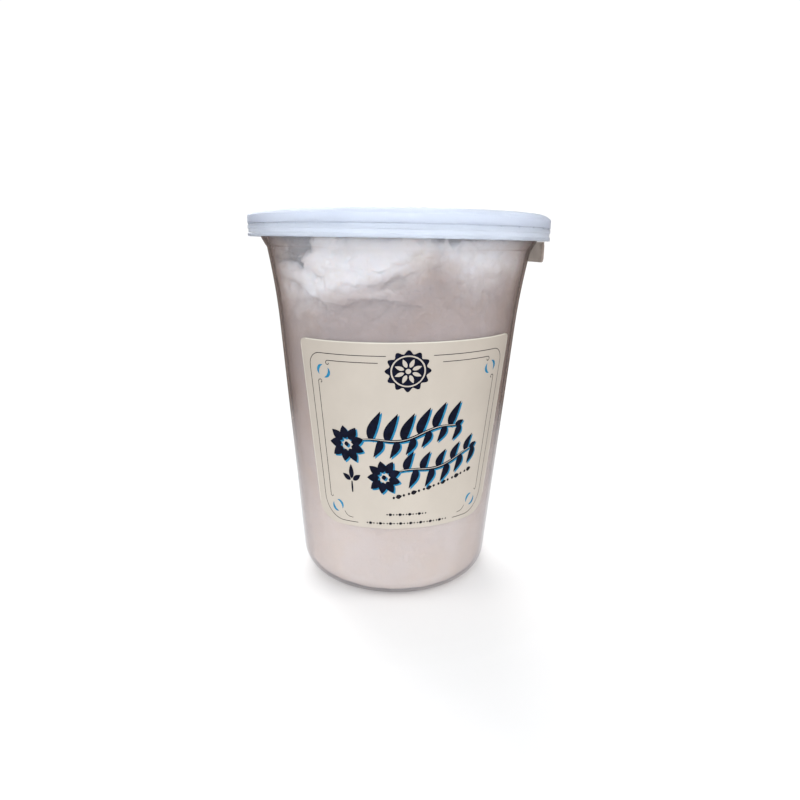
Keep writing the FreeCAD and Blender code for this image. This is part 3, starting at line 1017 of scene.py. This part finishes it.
def spiral(centre, radius, start, turns, end_radius=0.4, steps=70):
    """A curl that winds in from radius; start is in degrees and negative turns run clockwise."""
    out = []
    for k in range(steps + 1):
        t = k / steps
        r = radius + (end_radius - radius) * t**0.85
        angle = math.radians(start + 360 * turns * t)
        out.append((centre[0] + r * math.cos(angle), centre[1] + r * math.sin(angle)))
    return out


def bezier(a, b, c, d, steps=26):
    """A path along a cubic curve."""
    t = np.linspace(0, 1, steps + 1)[:, None]
    a, b, c, d = (np.array(p, float) for p in (a, b, c, d))
    return ((1 - t) ** 3 * a + 3 * t * (1 - t) ** 2 * b + 3 * t**2 * (1 - t) * c + t**3 * d).tolist()


def leaf_width(most):
    """The width of a leaf along its length, pointed at both ends."""
    return lambda t: 0.12 + most * math.sin(math.pi * t**0.8) ** 0.9


def swell(thin, wide):
    """A stroke's width, widest halfway."""
    return lambda t: thin + (wide - thin) * math.sin(math.pi * t)


def leaf(root, size, lean, most):
    """A slanted leaf from its root; a negative size points it down."""
    x, y = root
    across = 0.4 * abs(size) * (1 if size > 0 else -1)
    path = bezier(
        (x + lean[0], y + lean[1]),
        (x + lean[2], y + size * 0.3),
        (x + across + lean[3], y + size * lean[4]),
        (x + across + lean[5], y + size),
    )
    return path, leaf_width(most)


UP_LEAF = (-0.4, -0.5, -1.6, -2.0, 0.6, 0.4)
DOWN_LEAF = (0, 0.5, 1.4, 1.8, 0.55, -0.4)


def sprig(marks, origin, slope_degrees, length, count, up_size, down_size, bloom):
    """A slanting vine: a many-petalled bloom, a waving stem, pairs of slanted leaves and a bud."""
    turn = math.radians(slope_degrees)
    u = np.array([math.cos(turn), math.sin(turn)])
    v = np.array([-math.sin(turn), math.cos(turn)])

    def whole(points):
        return [tuple(np.array(origin) + u * x + v * y) for x, y in points]

    def stem(x):
        return 1.2 * math.sin((x - bloom) / (length - bloom) * math.pi * count / 2)

    for k in range(9):
        angle = math.radians(40 * k + 10)
        near, far = 0.27 * bloom, bloom * (1.0 if k % 2 else 0.93)
        petal = [(bloom + r * math.cos(angle), r * math.sin(angle)) for r in np.linspace(near, far, 14)]
        marks(whole(petal), leaf_width(0.44 * bloom))
    marks(whole([(bloom - 0.9 + 0.15 * k, 0) for k in range(13)]), swell(0.5, 1.9))
    run = np.linspace(1.9 * bloom, length - 0.4, 61)
    marks(whole([(x, stem(x)) for x in run]), swell(0.7, 1.3), True)
    start = 2.4 * bloom
    for k in range(count):
        x = start + (length - start - 1.5) * k / (count - 1)
        shrink = 1.0 - 0.2 * k / count
        size = up_size * shrink
        path, width = leaf((x, stem(x)), size, UP_LEAF, 3.4 * (0.55 + 0.45 * size / 11.0))
        marks(whole(path), width)
        x += 1.9
        size = down_size * shrink
        path, width = leaf((x, stem(x)), -size, DOWN_LEAF, 3.0 * (0.55 + 0.45 * size / 8.0))
        marks(whole(path), width)
    bud = line((length - 0.6, stem(length)), (length + 3.0, stem(length) + 1.2), 12)
    marks(whole(bud), leaf_width(2.0))


# How far each layer of print stands off the tub side of the paper, in order.
EDGE_LIFT, LINE_LIFT, BLUE_LIFT, NAVY_LIFT = 0.215, 0.22, 0.225, 0.24
SLIT_LIFT, ROSETTE_LIFT, PETAL_LIFT = 0.255, 0.27, 0.285
SLOT = "front_paper"
ROSETTE = (-1.2, 25.6)


def front_print(name, mat, lift):
    """An empty layer of print on the front label."""
    return Print("front_label_" + name, mat, on_front_label, lift, SLOT)


def print_edge():
    """A paler band along the front label's top and sides."""
    edge = front_print("edge", PALE, EDGE_LIFT)
    edge.stroke(line((-37.6, 35.62), (37.6, 35.62), 90), 0.42, 1)
    for x in (-40.32, 40.32):
        edge.stroke(line((x, -28.6), (x, 33.6), 60), 0.34, 1)
    edge.build()


def print_frame(fine, blue, sign):
    """One side of the ruled double frame, with its curls and blue crescents; sign is -1 on the left."""

    def rule(path, width=0.26):
        fine.stroke(path, width, 1)

    side, top, low, round_r, foot_r, within = 36.6, 31.0, -34.0, 5.0, 9.0, 33.4
    corner = (sign * (side - round_r), top - round_r)
    foot = (sign * (side - foot_r), low + foot_r)
    rule(line((-8.3 if sign < 0 else 6.9, top), (corner[0], top), 40))
    rule(bow(corner, round_r, 90, 90 - 90 * sign))
    rule(line((sign * side, corner[1]), (sign * side, foot[1]), 60))
    rule(bow(foot, foot_r, -90 + 90 * sign, -90))
    rule(line((foot[0], low), (sign * 21.0, low), 12))
    end = sign * 28.6
    rule(line((-10.9 if sign < 0 else 10.1, 28.5), (end, 28.5), 30))
    rule(spiral((end, 27.5), 1.0, 90, -0.8 * sign, 0.3, 20))
    rule(line((sign * within, 20.4), (sign * within, -24.4), 56))
    turned = 90 - 90 * sign
    rule(spiral((sign * (within - 1.0), 20.4), 1.0, turned, 0.8 * sign, 0.3, 20))
    rule(spiral((sign * (within - 0.7), -24.4), 0.7, turned, -0.6 * sign, 0.25, 16), 0.24)
    sweep = bezier((sign * 27.0, -30.0), (sign * 26.0, -32.2), (sign * 24.6, -32.0), (sign * 23.2, -32.2))
    rule(sweep, 0.24)
    for cx, cy, lean in ((30.7, 24.4, 24), (30.2, -28.2, -35)):
        for start in (118, 298):
            first = start + lean * sign
            blue.stroke(bow((sign * cx, cy), 2.7 * 0.86, first, first + 120), swell(0.12, 1.1), 2)


def print_rosette(navy, pale):
    """A round twelve-lobed badge with eight petals."""
    navy.disc(ROSETTE, lambda a: 6.9 + 0.7 * math.cos(12 * a))
    pale.disc(ROSETTE, lambda a: 5.7)
    middle = front_print("rosette", NAVY, ROSETTE_LIFT)
    middle.disc(ROSETTE, lambda a: 5.2)
    petals = front_print("petals", CREAM, PETAL_LIFT)
    for k in range(8):
        angle = math.radians(45 * k + 22.5)
        near, far = (np.array(ROSETTE) + r * np.array((math.cos(angle), math.sin(angle))) for r in (1.5, 4.6))
        petals.stroke(line(near, far, 12), leaf_width(1.3), 2)
    petals.disc(ROSETTE, lambda a: 0.9)
    middle.build()
    petals.build()


def print_leaf_mark(navy):
    """A small three-leaf mark on a stalk."""
    root = np.array((-22.6, -17.0))
    for lean, reach in ((0.0, 6.6), (0.95, 4.6), (-0.95, 4.6)):
        tip = root + reach * np.array((math.sin(lean), math.cos(lean)))
        navy.stroke(line(root + 0.14 * (tip - root), tip, 14), leaf_width(1.9), 2)
    navy.stroke(line(root, root - (0, 4.6), 8), swell(0.4, 0.8), 2)


def print_beads(fine, start, end, count, size):
    """A row of generic printed beads, with a lozenge for every third."""

    def bead_width(t):
        return size * 0.95 * math.sin(math.pi * (0.12 + 0.76 * t))

    run = np.array(end) - np.array(start)
    unit = run / np.linalg.norm(run) * size
    for k in range(count):
        c = np.array(start) + run * (k + 0.5) / count
        if k % 3 == 1:
            fine.stroke(line(c - unit * 1.1, c + unit * 1.1, 4), leaf_width(size * 1.5), 2)
        else:
            fine.stroke(line(c - unit * 0.42, c + unit * 0.42, 4), bead_width, 2)


def make_front_label():
    """The front label's paper, then its print, one mesh to a layer."""
    corners = (10.5, 7.0, 3.0, 2.0)
    sheet_of_paper("front_label_paper", on_front_label, 40.5, -35.8, 35.8, corners, SLOT, "front_label")
    print_edge()
    fine = front_print("lines", FINE, LINE_LIFT)
    blue = front_print("blue", BLUE, BLUE_LIFT)
    navy = front_print("navy", NAVY, NAVY_LIFT)
    pale = front_print("slits", CREAM, SLIT_LIFT)

    def bold(path, width, slit=False):
        blue.stroke(path, width, 3, (0.62, -0.5))
        navy.stroke(path, width, 4)
        if slit:
            pale.stroke(path, 0.26, 1, (0, 0.1))

    for sign in (-1, 1):
        print_frame(fine, blue, sign)
    print_rosette(navy, pale)
    sprig(bold, (-31.2, -3.6), 9.0, 49.5, 6, 10.2, 6.4, 7.6)
    sprig(bold, (-16.4, -16.2), 12.0, 43.5, 5, 6.6, 7.0, 7.1)
    print_leaf_mark(navy)
    print_beads(fine, (-6.6, -23.2), (27.6, -14.6), 17, 1.15)
    print_beads(fine, (-9.0, -29.9), (8.6, -29.9), 13, 0.72)
    print_beads(fine, (-17.6, -33.6), (18.2, -33.6), 25, 0.72)
    for layer in (fine, blue, navy, pale):
        layer.build()


def make_back_label():
    """A plain panel on the far side with a double border and ruled lines."""
    outline = (BACK_HALF_W, -BACK_HALF_H, BACK_HALF_H, (2.5, 2.5, 2.5, 2.5))
    sheet_of_paper("back_label_paper", on_back_label, *outline, "back_paper", "back_label")
    lines = Print("back_label_lines", FINE, on_back_label, LINE_LIFT, "back_paper")
    for inset, width in ((1.8, 0.35), (2.9, 0.18)):
        w, h = BACK_HALF_W - inset, BACK_HALF_H - inset
        for y in (-h, h):
            lines.stroke(line((-w, y), (w, y), 60), width, 1)
        for x in (-w, w):
            lines.stroke(line((x, -h), (x, h), 50), width, 1)
    for k in range(9):
        y = 14.0 - 4.0 * k
        reach, width = (20.0, 0.22) if k % 3 else (22.0, 0.5)
        lines.stroke(line((-reach, y), (reach, y), 50), width, 1)
    lines.build()


# ---- studio
def make_floor():
    """A pale round floor whose rim fades into the white around it."""
    reach, drop, count = 900.0, -0.3, 96
    turns = np.radians(np.arange(count) * 360 / count)
    verts = [(0, 0, drop)] + [polar(reach, t, drop) for t in turns]
    floor = new_object("floor", verts, [(0, 1 + k, 1 + (k + 1) % count) for k in range(count)])
    mat = material("floor")
    where = node(mat, "TexCoord")
    distance = node(mat, "VectorMath", set_operation="LENGTH", i0=where.outputs["Object"])
    fade = node(mat, "MapRange", Value=distance.outputs["Value"], From_Min=0.07, From_Max=0.30)
    tint = ramp(mat, noise(mat, 2.0, 2.0), [(0.3, grey(0.97)), (0.7, grey(0.99))])
    surface = node(mat, "BsdfDiffuse", Color=tint)
    clear = node(mat, "BsdfTransparent")
    mixed = node(mat, "MixShader", Fac=fade, i1=surface, i2=clear)
    finish_material(mat, mixed)
    dress(floor, mat)


def area_light(name, place, target, size, power, colour, mirrored=True):
    """A soft rectangular light, in metres and watts; mirrored lights show in glossy surfaces."""
    data = bpy.data.lights.new(name, "AREA")
    data.shape = "RECTANGLE"
    data.size, data.size_y = size
    data.energy = power
    data.color = colour
    light = add_object(name, data)
    light.location = place
    light.rotation_euler = (Vector(target) - Vector(place)).to_track_quat("-Z", "Y").to_euler()
    light.visible_glossy = mirrored


def make_world():
    """A soft sky that lights the object, and plain white behind it for the camera."""
    world = bpy.data.worlds.new("studio")
    world.use_nodes = True
    world.node_tree.nodes.clear()
    place = node(world, "TexCoord")
    split = node(world, "SeparateXYZ", Vector=place.outputs["Generated"])
    level = node(world, "MapRange", Value=split.outputs["Z"], From_Min=-1.0)
    stops = [(0.0, (0.36, 0.29, 0.25)), (0.5, (0.20, 0.145, 0.115)), (0.62, (0.30, 0.245, 0.215))]
    sky = ramp(world, level, stops + [(0.85, (0.90, 0.95, 1.0))])
    lit = node(world, "Background", Color=sky, Strength=0.62)
    seen = node(world, "Background", Color=(1, 1, 1, 1), Strength=1.05)
    path = node(world, "LightPath")
    direct = path.outputs["Is Camera Ray"]
    mixed = node(world, "MixShader", Fac=direct, i1=lit, i2=seen)
    node(world, "OutputWorld", Surface=mixed)
    bpy.context.scene.world = world


make_tub()
make_lid()
make_strip()
make_tab()
make_floss()
make_front_label()
make_back_label()
make_floor()
make_world()
area_light("key", (-0.10, -0.90, 0.42), (0, 0, 0.07), (0.5, 0.5), 5.1, (0.95, 0.98, 1.0))
area_light("low", (0.02, -0.75, 0.10), (0, 0, 0.05), (0.4, 0.3), 2.3, (0.98, 0.98, 1.0), False)
area_light("left", (-0.75, -0.22, 0.42), (0, 0, 0.12), (0.4, 0.4), 1.1, (1.0, 0.93, 0.86))
area_light("right", (0.75, -0.22, 0.42), (0, 0, 0.12), (0.4, 0.4), 1.9, (1.0, 0.94, 0.88))
area_light("back", (-0.22, 0.66, 0.56), (0, 0, 0.07), (0.7, 0.7), 5.6, (1.0, 0.98, 0.96))
bpy.context.scene.view_settings.view_transform = "Standard"

bpy.context.view_layer.update()
